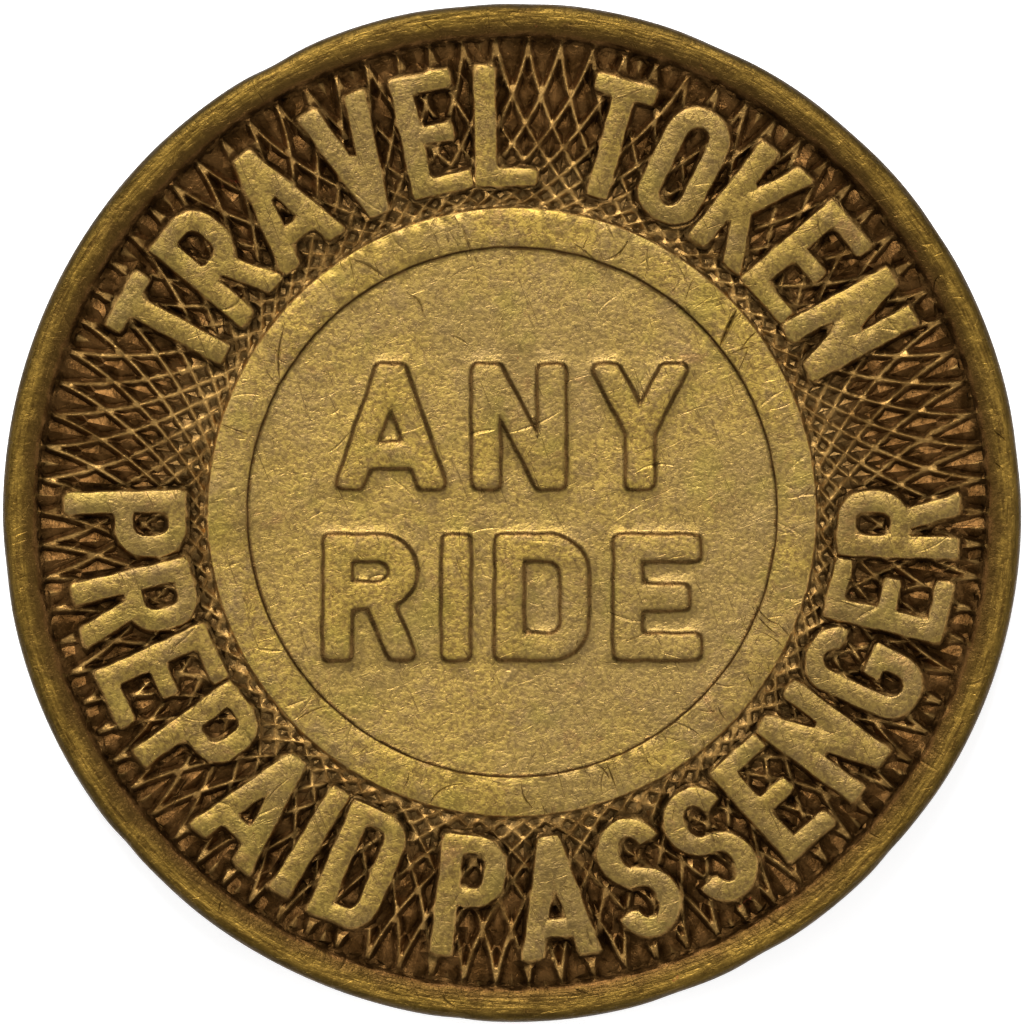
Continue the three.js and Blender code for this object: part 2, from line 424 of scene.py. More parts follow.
def lettering_distance(points, letters):
    nearest = np.full(len(points), FAR)
    for letter in letters:
        near = ((points > letter.low - LETTER_MARGIN) & (points < letter.high + LETTER_MARGIN)).all(1)
        if near.any():
            nearest[near] = np.minimum(nearest[near], letter.distance(points[near]))
    return nearest


# ---- relief: depths below the rim, in millimetres ----

def wall(distance, slope, shoulder):
    """Depth gained at a distance outside a flat top: a drafted wall with a rounded shoulder."""
    return slope * (distance + np.sqrt(distance * distance + shoulder * shoulder)) / 2


def swing(r):
    """How far round from its cusp an engine-turned line has swung where it reaches radius r."""
    reach = CUSP_RADIUS - ROLL
    r = np.clip(r, CUSP_RADIUS - 2 * ROLL, CUSP_RADIUS)
    turn = np.arccos((r * r - reach * reach - ROLL * ROLL) / (2 * reach * ROLL) * (1 - 1e-9))
    roll = turn * ROLL / CUSP_RADIUS
    spin = turn - roll
    across = reach * np.sin(roll) - ROLL * np.sin(spin)
    out = reach * np.cos(roll) + ROLL * np.cos(spin)
    return np.arctan2(across, out)


def lean(r):
    """Length along an engine-turned line for each unit of radius."""
    nudge = 1e-4
    slope = (swing(r + nudge) - swing(r - nudge)) / (2 * nudge)
    return np.sqrt(1 + (r * slope) ** 2)


class Ground:
    """The engine-turned ground of one face, with its own small irregularities."""

    def __init__(self, rng):
        self.crest = {side: CRESTS[side] + rng.normal(0, CREST_SPREAD, CUSPS) for side in CRESTS}
        self.half = {side: CREST_HALF[side] * rng.uniform(*HALF_SPREAD, CUSPS) for side in CRESTS}
        self.floor = rng.normal(0, VALLEY_SPREAD, (CUSPS, CUSPS))
        self.hip = HIP * rng.uniform(*HIP_SPREAD, (CUSPS, CUSPS))

    def depth(self, r, angle):
        """Depth of the ground, and of the ridge that stands nearest."""
        flanks = []
        gaps = []
        names = []
        for side in CRESTS:
            phase = (angle - side * swing(r)) / PITCH
            name = np.round(phase)
            gap = np.abs(phase - name) * PITCH * r / lean(r)
            name = name.astype(int) % CUSPS
            flank = wall(gap - self.half[side][name], FLANK, CREST_SHOULDER)
            flanks.append(self.crest[side][name] + flank)
            gaps.append(gap)
            names.append(name)
        cell = tuple(names)
        rise = self.hip[cell] * np.clip(np.minimum(*gaps) - VALLEY_AT, 0, FAR)
        inward = np.clip((SHALLOW_OUT - r) / (SHALLOW_OUT - SHALLOW_IN), 0, 1)
        floor = VALLEY - SHALLOW * inward + self.floor[cell] - np.minimum(rise, HIP_LIMIT)
        crest = np.where(flanks[0] < flanks[1], self.crest[1][names[0]], self.crest[-1][names[1]])
        return np.minimum(np.minimum(*flanks), floor), crest


class Mark:
    """A V-shaped groove along a slightly bent line, narrower and shallower towards both ends."""

    def __init__(self, start, end, half, depth, bow):
        self.start = start
        self.step = end - start
        self.length = np.linalg.norm(self.step)
        self.side = np.array([-self.step[1], self.step[0]]) / self.length
        self.half = half
        self.depth = depth
        self.bow = bow * self.length

    def line(self, along, across):
        """Points at shares of the way along, and so many half widths to one side."""
        out = 4 * self.bow * along * (1 - along) + across * self.half * taper(along)
        return self.start + along[:, None] * self.step + out[:, None] * self.side

    def cut(self, points):
        """How deep the groove is at each point."""
        offset = points - self.start
        along = offset @ self.step / self.length ** 2
        within = np.clip(along, 0, 1)
        across = offset @ self.side - 4 * self.bow * within * (1 - within)
        gap = np.hypot(across, (along - within) * self.length)
        fade = taper(within)
        return self.depth * fade * np.clip(1 - gap / (self.half * fade), 0, 1)


def taper(along):
    """How a mark narrows towards its ends."""
    return np.sqrt(np.clip(4 * along * (1 - along), 0.04, 1))


def polar(degrees, r):
    return r * np.array([math.cos(math.radians(degrees)), math.sin(math.radians(degrees))])


def radii(points):
    return np.hypot(points[:, 0], points[:, 1])


class Marks:
    """The nicks, cuts and cracks of one face."""

    def __init__(self, rng, cracks, folds):
        self.rng = rng
        self.rows = []
        for angle, r, end_angle, end_r, half, depth in cracks:
            self.add(polar(angle, r), polar(end_angle, end_r), half, depth)
        for start, end, half, depth in folds:
            self.add(np.array(start), np.array(end), half, depth)
        for row in SCATTERED:
            self.scatter(*row)

    def add(self, start, end, half, depth):
        self.rows.append(Mark(start, end, half, depth, self.rng.normal(0, MARK_BOW)))

    def scatter(self, count, zone, spread, lengths, halves, depths):
        """Adds marks between two radii, turned from the radius by up to spread degrees."""
        draw = self.rng.uniform
        for _ in range(count):
            angle = draw(0, 360)
            middle = polar(angle, draw(*zone))
            arm = polar(angle + draw(-spread, spread), draw(*lengths) / 2)
            self.add(middle - arm, middle + arm, draw(*halves), draw(*depths))

    def depth(self, points):
        total = np.zeros(len(points))
        for mark in self.rows:
            total = np.maximum(total, mark.cut(points))
        return total


class Face:
    """One struck face: its ground, lettering and wear."""

    def __init__(self, seed, cracks=(), folds=()):
        rng = np.random.default_rng(seed)
        self.ground = Ground(rng)
        self.marks = Marks(rng, cracks, folds)
        self.dents = [
            (polar(rng.uniform(0, 360), rng.uniform(low, high)),
             rng.uniform(*DENT_REACH), rng.uniform(*DENT_DEPTH))
            for count, low, high in DENTS for _ in range(count)
        ]
        self.waves = [
            (rng.uniform(*WAVE_RATE), rng.uniform(0, math.pi), rng.uniform(0, 2 * math.pi))
            for _ in range(WAVES)
        ]

    def unevenness(self, points):
        """The slight waviness of struck metal and its shallow dents."""
        total = np.zeros(len(points))
        for rate, heading, phase in self.waves:
            run = points @ (math.cos(heading), math.sin(heading))
            total += WAVE_HEIGHT * np.sin(rate * run + phase)
        for middle, reach, depth in self.dents:
            total += depth * np.exp(-((points - middle) ** 2).sum(1) / (reach * reach))
        return total

    def layers(self, points):
        """Each raised feature as the depth of its top and the depth of its surface at each point."""
        r = radii(points)
        angle = np.arctan2(points[:, 1], points[:, 0])
        step = (RIM_STEP_OUT - r + STEP_WAVER * waver(points)) / (RIM_STEP_OUT - RIM_STEP_IN)
        land = RIM_STEP * np.clip(step, 0, 1) + RIM_LEAN * (LAND_OUT - r)
        ring_d = np.maximum(RING_IN - r, r - RING_OUT) + RING_WAVER * waver(points)
        legend_d = lettering_distance(points, LEGEND_LETTERS)
        value_d = lettering_distance(points, VALUE_LETTERS)
        laid_back = np.clip((r - OUTER_AT) / (LEGEND_INNER + LEGEND.height - OUTER_AT), 0, 1)
        legend_draft = DRAFT + (OUTER_DRAFT - DRAFT) * laid_back
        foot = DISC_DEPTH + FOOT_SLOPE * (value_d - VALUE_FOOT)
        ground, crest = self.ground.depth(r, angle)
        central = r < (RING_IN + RING_OUT) / 2
        return [
            (RING_DEPTH, RING_DEPTH + wall(ring_d, DRAFT, SHOULDER)),
            (0, land + wall(RIM_IN - r + RIM_WAVER * waver(points), DRAFT, RIM_SHOULDER)),
            (LEGEND_DEPTH, LEGEND_DEPTH + wall(legend_d, legend_draft, SHOULDER)),
            (VALUE_DEPTH, VALUE_DEPTH + wall(value_d, VALUE_DRAFT, VALUE_SHOULDER)),
            (DISC_DEPTH, np.where(value_d > 0, foot, FAR)),
            (np.where(central, DISC_DEPTH, crest - GROUND_TARNISH),
             np.where(central, DISC_DEPTH, ground)),
        ]

    def relief(self, points):
        """Depth of the face at each point, and how far it lies below the top it belongs to."""
        layers = self.layers(points)
        tops = np.stack([np.broadcast_to(top, len(points)) for top, _ in layers])
        depths = np.stack([depth for _, depth in layers])
        highest = depths.argmin(0)[None]
        depth = np.take_along_axis(depths, highest, 0)[0]
        below = depth - np.take_along_axis(tops, highest, 0)[0]
        return depth + self.marks.depth(points) + self.unevenness(points), below

    def grime(self, points):
        """Dirt and painted shade at the feet of walls, and marks darkened by their depth: 0 on open metal
        to 1 in the tightest corners.
        """
        r = radii(points)
        # Painted shade with dirt along the feet of the walls; marks darken with their depth.
        total = dark_band(lettering_distance(points, VALUE_LETTERS), VALUE_DIRT_AND_SHADE)
        total += dark_band(r - DISC_IN - RING_WAVER * waver(points), STEP_DIRT_AND_SHADE)
        total += dark_band(lettering_distance(points, LEGEND_LETTERS), LEGEND_DIRT_AND_SHADE)
        total += dark_band(r - RIM_IN, RIM_FOOT_DIRT_AND_SHADE)
        total += np.clip((self.marks.depth(points) - MARK_DARK_FROM) / MARK_DARK_OVER, 0, MARK_DARKEST)
        return np.clip(total, 0, 1)


def dark_band(distance, line):
    """Dirt with painted shade that lies along a line and thins out to both sides of it."""
    darkness, outside, reach = line
    return darkness * np.exp(-((distance - outside) / reach) ** 2)


# ---- the points and lines that a face's mesh is drawn through ----

def circle(r, count):
    angles = np.arange(count) * 2 * math.pi / count
    return np.stack([r * np.cos(angles), r * np.sin(angles)], 1)


def resampled(points, step):
    """A closed loop with its points evenly spaced."""
    closed = np.concatenate([points, points[:1]])
    length = np.concatenate([[0], np.cumsum(np.linalg.norm(np.diff(closed, axis=0), axis=1))])
    count = max(6, round(length[-1] / step))
    at = np.arange(count) * length[-1] / count
    return np.stack([np.interp(at, length, closed[:, k]) for k in (0, 1)], 1)


def contour_links(inside):
    """Which sides of a grid's cells the border of a region runs through, each with its neighbours."""
    links = {}
    mixed = inside[:-1, :-1].astype(int) + inside[1:, :-1] + inside[:-1, 1:] + inside[1:, 1:]
    for i, j in np.argwhere((mixed > 0) & (mixed < 4)):
        sides = [((i, j), (i + 1, j)), ((i + 1, j), (i + 1, j + 1)),
                 ((i, j + 1), (i + 1, j + 1)), ((i, j), (i, j + 1))]
        cut = [side for side in sides if inside[side[0]] != inside[side[1]]]
        for first, second in zip(cut[::2], cut[1::2]):
            links.setdefault(first, []).append(second)
            links.setdefault(second, []).append(first)
    return links


def loops_at(letter, level):
    """The closed loops that run round a letter at one distance from its outline."""
    margin = 0.2
    low = letter.low - margin
    counts = np.ceil((letter.high + margin - low) / CONTOUR_CELL).astype(int) + 1
    xs = low[0] + CONTOUR_CELL * np.arange(counts[0])
    ys = low[1] + CONTOUR_CELL * np.arange(counts[1])
    grid = np.stack(np.meshgrid(xs, ys, indexing="ij"), 2)
    field = letter.distance(grid.reshape(-1, 2)).reshape(counts) - level
    links = contour_links(field < 0)
    loops = []
    while links:
        here, neighbours = links.popitem()
        loop = [here]
        onward = neighbours[0]
        while onward in links:
            here = onward
            loop.append(here)
            neighbours = links.pop(here)
            onward = next((n for n in neighbours if n in links), None)
        ends = np.array([[grid[a], grid[b]] for a, b in loop])
        heights = np.array([[field[a], field[b]] for a, b in loop])
        share = heights[:, 0] / (heights[:, 0] - heights[:, 1])
        loops.append(ends[:, 0] + share[:, None] * (ends[:, 1] - ends[:, 0]))
    return [loop for loop in loops if len(loop) > 5]


class Plan:
    """The points of a face's mesh, and the lines that its triangles must follow."""

    def __init__(self):
        self.points = []
        self.lines = []
        self.count = 0

    def add(self, points):
        first = self.count
        self.points.append(points)
        self.count += len(points)
        return np.arange(first, self.count)

    def add_loop(self, points):
        names = self.add(points)
        self.lines.append(np.stack([names, np.roll(names, -1)], 1))
        return names

    def add_run(self, points, keep):
        """An open line, of which only the kept points and the stretches between them are drawn."""
        names = np.full(len(points), -1)
        names[keep] = self.add(points[keep])
        pairs = np.stack([names[:-1], names[1:]], 1)
        self.lines.append(pairs[(pairs >= 0).all(1)])

    def fill(self, points, clearance):
        """Adds the points that stay clear of everything drawn so far."""
        cell = clearance / 2
        size = int(2 * RADIUS / cell) + 5
        taken = np.zeros((size, size), bool)
        drawn = ((np.concatenate(self.points) + RADIUS) / cell).astype(int) + 2
        for dx in range(-2, 3):
            for dy in range(-2, 3):
                if dx * dx + dy * dy < 6:
                    taken[drawn[:, 0] + dx, drawn[:, 1] + dy] = True
        spots = ((points + RADIUS) / cell).astype(int) + 2
        self.add(points[~taken[spots[:, 0], spots[:, 1]]])


def ground_lines():
    """Radii at the steps along an engine-turned line, which are shorter where the lines crowd."""
    r = np.linspace(GROUND_IN, CUSP_RADIUS - 0.02, 600)
    at, steps = zip(*LINE_STEPS)
    density = lean(r) / np.interp(r, at, steps)
    count = np.concatenate([[0], np.cumsum(np.diff(r) * (density[1:] + density[:-1]) / 2)])
    return np.interp(np.arange(0, count[-1]), count, r)


def draw_ground(plan, ground):
    """Lines along both sides of each ridge, and points along the valleys beside it."""
    r = ground_lines()
    stretch = lean(r) / r
    valleys = np.minimum(VALLEY_AT + 0.005, 0.34 * PITCH / stretch)
    for side in CRESTS:
        for k in range(CUSPS):
            half = ground.half[side][k]
            for offset, ridge in ((half, True), (-half, True), (valleys, False), (-valleys, False)):
                angle = k * PITCH + side * swing(r) + offset * stretch
                points = np.stack([r * np.cos(angle), r * np.sin(angle)], 1)
                keep = lettering_distance(points, LEGEND_LETTERS) > LETTER_CLEAR
                if ridge:
                    plan.add_run(points, keep)
                else:
                    plan.fill(points[keep], VALLEY_CLEAR)


def draw_hips(plan):
    """The ridges of the small pyramids, along the middle of each cell."""
    reach = 0.6  # how much of the way to its cell's corners a ridge goes
    limit = RIM_IN - 0.13  # clear of the rim's wall
    fine = np.linspace(GROUND_IN, CUSP_RADIUS, 2000)
    crossings = np.interp(np.arange(20) * PITCH / 2, swing(fine)[::-1], fine[::-1])
    for row, (outer, middle, inner) in enumerate(zip((HIP_OUT, *crossings), crossings, crossings[1:])):
        if inner < GROUND_IN + 0.1:
            break
        ends = (min(middle + reach * (outer - middle), limit), middle - reach * (middle - inner))
        run = np.linspace(*ends, max(2, round((ends[0] - ends[1]) / HIP_STEP)))
        for k in range(CUSPS):
            angle = (k + (row + 1) / 2) * PITCH
            points = np.outer(run, (math.cos(angle), math.sin(angle)))
            keep = lettering_distance(points, LEGEND_LETTERS) > LETTER_CLEAR
            plan.add_run(points, keep)


def draw_letters(plan):
    for letters, levels in ((LEGEND_LETTERS, LEGEND_LEVELS), (VALUE_LETTERS, VALUE_LEVELS)):
        for letter in letters:
            for level in levels:
                for loop in loops_at(letter, level):
                    plan.add_loop(resampled(loop, CONTOUR_STEP))


def draw_marks(plan, marks):
    for mark in marks.rows:
        along = np.linspace(0, 1, max(4, round(mark.length / MARK_STEP)) + 1)
        for across in MARK_ROWS:
            points = mark.line(along, across)
            r = radii(points)
            plan.add_run(points, r < LAND_OUT - 0.03)


def draw_circles(plan):
    """Rows at the top, middle and foot of each circular wall."""
    ring_foot = RING_OUT + (VALLEY - RING_DEPTH) / DRAFT - 0.02
    rim_foot = RIM_IN - VALLEY / DRAFT + 0.02
    rows = [
        DISC_IN - 0.05, DISC_IN, (DISC_IN + RING_IN) / 2, RING_IN - 0.003, RING_IN + 0.015,
        RING_OUT - 0.015, RING_OUT + 0.003, RING_OUT + 0.04, ring_foot,
        rim_foot, (rim_foot + RIM_IN) / 2, RIM_IN - 0.015, RIM_IN + 0.03,
        RIM_STEP_IN - 0.01, (RIM_STEP_IN + RIM_STEP_OUT) / 2, RIM_STEP_OUT + 0.01,
    ]
    for r in rows:
        plan.add_loop(circle(r, round(2 * math.pi * r / ROW_STEP)))


def draw_fill(plan):
    """Points in a triangular pattern on the plain metal and the tops of the letters."""
    inset = 0.05
    across = np.arange(-RADIUS, RADIUS, FILL_STEP)
    up = np.arange(-RADIUS, RADIUS, FILL_STEP * math.sqrt(0.75))
    grid = np.stack(np.meshgrid(across, up, indexing="ij"), 2)
    grid[:, 1::2, 0] += FILL_STEP / 2
    points = grid.reshape(-1, 2)
    points = points[radii(points) < LAND_OUT - inset]
    r = radii(points)
    plain = (r < RING_OUT) | (r > RIM_IN)
    on_letter = lettering_distance(points, LEGEND_LETTERS) < -inset
    plan.fill(points[plain | on_letter], FILL_CLEAR)


def face_triangles(face):
    """One face as points in its plane with their relief and their dirt and painted shade, triangles and
    the outer loop.
    """
    plan = Plan()
    outer = plan.add_loop(circle(LAND_OUT, EDGE_STEPS))
    draw_circles(plan)
    draw_letters(plan)
    draw_marks(plan, face.marks)
    draw_ground(plan, face.ground)
    draw_hips(plan)
    draw_fill(plan)
    points = [Vector(p) for p in np.concatenate(plan.points).tolist()]
    lines = np.concatenate(plan.lines).tolist()
    found, _, triangles, sources, _, _ = delaunay_2d_cdt(points, lines, [], 0, MERGE)
    flat = np.array([(v.x, v.y) for v in found])
    place = {}
    for new, olds in enumerate(sources):
        for old in olds:
            place[old] = new
    loop = np.array([place[n] for n in outer])
    return flat, *face.relief(flat), face.grime(flat), np.array(triangles), loop


# ---- the closed mesh of the token ----

def outline_wear(angle, rng):
    """How far the outline stands in or out of a true circle, from bruises and slight ovality."""
    total = np.zeros(len(angle))
    for lobes in LOBES:
        total += rng.normal(0, LOBE_HEIGHT) * np.cos(lobes * angle + rng.uniform(0, 2 * math.pi))
    for _ in range(BRUISES):
        centre = rng.uniform(-math.pi, math.pi)
        half = math.radians(rng.uniform(*BRUISE_HALF))
        deep = rng.uniform(*BRUISE_DEPTH)
        gap = (angle - centre + math.pi) % (2 * math.pi) - math.pi
        total -= deep * np.exp(-(gap / half) ** 2)
    return total


def wear_outline(points):
    """Bruises and bends the outline in place, fading out inwards across the rim."""
    r = radii(points)
    angle = np.arctan2(points[:, 1], points[:, 0])
    share = np.clip((r - RIM_IN) / (LAND_OUT - RIM_IN), 0, 1) ** 1.5
    shift = share * outline_wear(angle, np.random.default_rng(OUTLINE_SEED))
    points[:, :2] *= (1 + shift / np.maximum(r, 1))[:, None]


def edge_rows():
    """Rows of the edge between the faces' outer loops, as radius beyond the loop and height."""
    turns = [math.radians(a) for a in (25, 50, 72, 90)]
    upper = [(EDGE_ROUND * math.sin(a), THICKNESS - EDGE_ROUND * (1 - math.cos(a))) for a in turns]
    lower = [(out, THICKNESS - z) for out, z in reversed(upper)]
    sides = [(EDGE_ROUND, z) for z in np.linspace(THICKNESS - EDGE_ROUND, EDGE_ROUND, 7)[1:-1]]
    return upper + sides + lower


class Shell:
    """The closed mesh: points with their dirt and painted shade and how far they are sunk, and triangles.
    """

    def __init__(self):
        self.points = []
        self.grime = []
        self.sunk = []
        self.triangles = []
        self.count = 0

    def add(self, points, grime, sunk):
        names = self.count + np.arange(len(points))
        self.points.append(points)
        self.grime.append(grime)
        self.sunk.append(sunk)
        self.count += len(points)
        return names

    def add_face(self, face, turned_over):
        """Adds a face and gives its outer loop."""
        flat, depth, below, dirt_and_shade, triangles, loop = face_triangles(face)
        side = -1 if turned_over else 1
        height = depth if turned_over else THICKNESS - depth
        names = self.add(np.stack([side * flat[:, 0], flat[:, 1], height], 1), dirt_and_shade, below)
        self.triangles.append(names[triangles])
        return names[loop]

    def add_row(self, out, z):
        """Adds a row of the edge, with more painted shade the further out it stands."""
        ring = circle(LAND_OUT + out, EDGE_STEPS)
        points = np.column_stack([ring, np.full(EDGE_STEPS, z)])
        dirt_and_shade = np.full(EDGE_STEPS, EDGE_PAINTED_SHADE * (out / EDGE_ROUND) ** 3)
        return self.add(points, dirt_and_shade, np.zeros(EDGE_STEPS))

    def join(self, rows):
        """Adds the triangles between each row and the next."""
        for a, b in zip(rows, rows[1:]):
            a2, b2 = np.roll(a, -1), np.roll(b, -1)
            self.triangles.append(np.stack([a, b, b2], 1))
            self.triangles.append(np.stack([a, b2, a2], 1))

    def mesh(self):
        points = np.concatenate(self.points)
        wear_outline(points)
        mesh = bpy.data.meshes.new("struck_relief")
        mesh.from_pydata((points * MM).tolist(), [], np.concatenate(self.triangles).tolist())
        for name, values in (("grime", self.grime), ("sunk", self.sunk)):
            layer = mesh.attributes.new(name, "FLOAT", "POINT")
            layer.data.foreach_set("value", np.concatenate(values).astype(np.float32))
        mesh.shade_smooth()
        mesh.set_sharp_from_angle(angle=CREASE)
        return mesh


def token_mesh():
    """The whole token: two faces joined by the edge, as one closed mesh."""
    shell = Shell()
    upper = shell.add_face(Face(OBVERSE_SEED, RING_CRACKS, LETTER_FOLDS + DISC_NICKS), False)
    lower = shell.add_face(Face(REVERSE_SEED), True)
    rows = [upper]
    for out, z in edge_rows():
        rows.append(shell.add_row(out, z))
    # The reverse's loop runs the other way round, from the opposite side.
    rows.append(lower[(EDGE_STEPS // 2 - np.arange(EDGE_STEPS)) % EDGE_STEPS])
    shell.join(rows)
    return shell.mesh()


# ---- aged brass ----

# Colours of the worn metal, in linear light.
YELLOW, TAN, MAUVE = (0.392, 0.262, 0.055), (0.245, 0.149, 0.041), (0.175, 0.110, 0.052)
OLIVE, GREENISH, REDDISH = (0.235, 0.155, 0.034), (0.28, 0.215, 0.038), (0.24, 0.120, 0.045)
CLOUD, DISC_METAL = (0.225, 0.148, 0.074), (0.350, 0.232, 0.080)
SHADE, SMUDGE, SPOT = (0.080, 0.040, 0.011), (0.13, 0.078, 0.030), (0.075, 0.046, 0.026)
FIELD_METAL, RUST = (0.13, 0.080, 0.026), (0.26, 0.06, 0.025)
RIM_DARK, RIM_LIGHT = (0.058, 0.029, 0.004), (0.215, 0.126, 0.021)
# The first two are the land's inner band, browner and with painted shade in it, and its outer corner,
# darkened as painted shade.
RIM_INNER_SHADED, RIM_CORNER_SHADE, RIM_BROWN = (0.070, 0.039, 0.010), (0.032, 0.021, 0.005), (0.070, 0.038, 0.009)
# Colours of the sunk metal: each as two that it wanders between.
BROWNS = (0.135, 0.070, 0.019), (0.32, 0.188, 0.057)
DEEPS = (0.042, 0.019, 0.005), (0.090, 0.043, 0.0125)
# The near-blacks of the dirt and painted shade in the corners.
DIRT_AND_SHADE_BLACKS = (0.016, 0.0075, 0.002), (0.048, 0.024, 0.007)
INNER_DEEP = (0.140, 0.084, 0.028)

# Scratches: which way they run, and how coarse their pattern is along and across them.
SCRATCHES = ((0.2, 2600, 19000), (1.2, 1300, 14000), (2.0, 3000, 20000), (2.8, 1700, 15000))
STREAK_SCALE, STREAK_ROWS = 2000.0, 17.0  # how coarse the rim's lines are along and across them
BUMP_DEPTH = 0.000024


def fix(node, **inputs):
    """Sets inputs of a node, each given by its name with _ for a space."""
    for name, setting in inputs.items():
        node.inputs[name.replace("_", " ")].default_value = setting


class Nodes:
    """Short ways to add and join the nodes of one material."""

    def __init__(self, name):
        self.material = bpy.data.materials.new(name)
        self.material.use_nodes = True
        self.tree = self.material.node_tree
        self.tree.nodes.clear()
        self.place = self.add("TexCoord").outputs["Object"]

    def add(self, kind, **settings):
        node = self.tree.nodes.new("ShaderNode" + kind)
        for key, setting in settings.items():
            setattr(node, key, setting)
        return node

    def feed(self, socket, source):
        if isinstance(source, bpy.types.NodeSocket):
            self.tree.links.new(source, socket)
        else:
            socket.default_value = source

    def attribute(self, name):
        return self.add("Attribute", attribute_name=name).outputs["Fac"]

    def axes(self):
        parts = self.add("SeparateXYZ")
        self.feed(parts.inputs[0], self.place)
        return parts.outputs

    def noise(self, scale, detail=2.0, roughness=0.55, distortion=0.0, place=None):
        node = self.add("TexNoise")
        self.feed(node.inputs["Vector"], place or self.place)
        fix(node, Scale=scale, Detail=detail, Roughness=roughness, Distortion=distortion)
        return node.outputs["Fac"]

    def spread(self, source, low, high, to_low=0.0, to_high=1.0):
        """A smooth step from one number to another as the source goes from low to high."""
        node = self.add("MapRange", interpolation_type="SMOOTHSTEP")
        self.feed(node.inputs["Value"], source)
        fix(node, From_Min=low, From_Max=high, To_Min=to_low, To_Max=to_high)
        return node.outputs["Result"]

    def maths(self, operation, *sources):
        node = self.add("Math", operation=operation)
        for socket, source in zip(node.inputs, sources):
            self.feed(socket, source)
        return node.outputs[0]

    def stretched(self, turn, along, across):
        """Coordinates turned in the plane of the face and scaled unevenly, for lines that run one way."""
        turned_round = self.add("VectorRotate", rotation_type="Z_AXIS")
        self.feed(turned_round.inputs["Vector"], self.place)
        fix(turned_round, Angle=turn)
        scaled = self.add("VectorMath", operation="MULTIPLY")
        self.feed(scaled.inputs[0], turned_round.outputs[0])
        scaled.inputs[1].default_value = (along, across, across)
        return scaled.outputs[0]

    def mixed(self, share, first, second):
        node = self.add("Mix", data_type="RGBA")
        self.feed(node.inputs["Factor"], share)
        sockets = [socket for socket in node.inputs if socket.type == "RGBA"]
        for socket, source in zip(sockets, (first, second)):
            self.feed(socket, (*source, 1) if isinstance(source, tuple) else source)
        return next(socket for socket in node.outputs if socket.type == "RGBA")

    def patched(self, colour, patch, most, low, high, *noise):
        """A colour with patches of another, of at most a given share, where a noise runs high."""
        return self.mixed(self.spread(self.noise(*noise), low, high, 0.0, most), colour, patch)


def scratches(n):
    """Fine lines in several directions, 1 on a line and 0 between."""
    found = None
    for turn, along, across in SCRATCHES:
        field = n.noise(1.0, 2.0, 0.5, 1.1, n.stretched(turn, along, across))
        lines = n.spread(field, 0.65, 0.75)
        found = lines if found is None else n.maths("MAXIMUM", found, lines)
    return found


def radius(n):
    """Distance from the token's axis, in millimetres."""
    parts = n.axes()
    square = n.maths("MULTIPLY_ADD", parts["Y"], parts["Y"], n.maths("MULTIPLY", parts["X"], parts["X"]))
    return n.maths("MULTIPLY", n.maths("SQRT", square), 1 / MM)


def on_disc(n, r):
    """1 on the centre disc and 0 on the letters that stand on it and beyond."""
    off_middle = n.maths("ABSOLUTE", n.maths("SUBTRACT", n.axes()["Z"], THICKNESS * MM / 2))
    level = THICKNESS / 2 - DISC_DEPTH
    low = n.spread(off_middle, (level + 0.015) * MM, (level + 0.035) * MM, 1.0, 0.0)
    return n.maths("MULTIPLY", low, n.spread(r, RING_IN - 0.06, RING_IN - 0.02, 1.0, 0.0))


def streaks(n, r):
    """Fine lines that run round the rim."""
    join = n.add("CombineXYZ")
    parts = n.axes()
    n.feed(join.inputs["X"], n.maths("MULTIPLY", parts["X"], STREAK_SCALE))
    n.feed(join.inputs["Y"], n.maths("MULTIPLY", parts["Y"], STREAK_SCALE))
    n.feed(join.inputs["Z"], n.maths("MULTIPLY", r, STREAK_ROWS))
    return n.noise(1.0, 3.0, 0.6, 0.0, join.outputs[0])


class Patterns:
    """The patterns that the brass's colour, gloss and bump share."""

    def __init__(self, n):
        self.grain = n.noise(15000, 3, 0.65)
        self.blotch = n.noise(2900, 4, 0.6, 0.4)
        self.stain = n.noise(1300, 5, 0.7, 0.6)
        self.lines = scratches(n)
        self.r = radius(n)
        self.on_rim = n.spread(self.r, RIM_IN - 0.17, RIM_IN + 0.03)
        self.streak = streaks(n, self.r)
        wobble = n.maths("MULTIPLY", n.maths("SUBTRACT", self.blotch, 0.5), 0.018)
        self.level = n.maths("ADD", n.attribute("sunk"), wobble)
        self.tarnish = n.spread(self.level, 0.005, 0.028)
        # Dirt together with painted shade at the feet of walls, in marks and on the edge.
        self.dirt_and_shade = n.maths("MULTIPLY", n.attribute("grime"), n.spread(self.stain, 0.3, 0.6, 0.7, 1.0))
        self.cover = n.maths("MAXIMUM", self.tarnish, self.dirt_and_shade)


def open_metal(n, p):
    """Worn brass: olive-yellow and grey-brown in a fine mottle, crossed by scratches."""
    colour = n.mixed(n.spread(p.grain, 0.36, 0.62), TAN, YELLOW)
    colour = n.mixed(n.spread(p.blotch, 0.44, 0.72, 0.0, 0.55), colour, MAUVE)
    colour = n.patched(colour, OLIVE, 0.45, 0.42, 0.66, 600, 3)
    colour = n.patched(colour, SHADE, 0.6, 0.60, 0.72, 11000, 4, 0.8)
    colour = n.patched(colour, CLOUD, 0.28, 0.44, 0.62, 420, 3, 0.6)
    return n.mixed(n.maths("MULTIPLY", p.lines, 0.55), colour, SHADE)


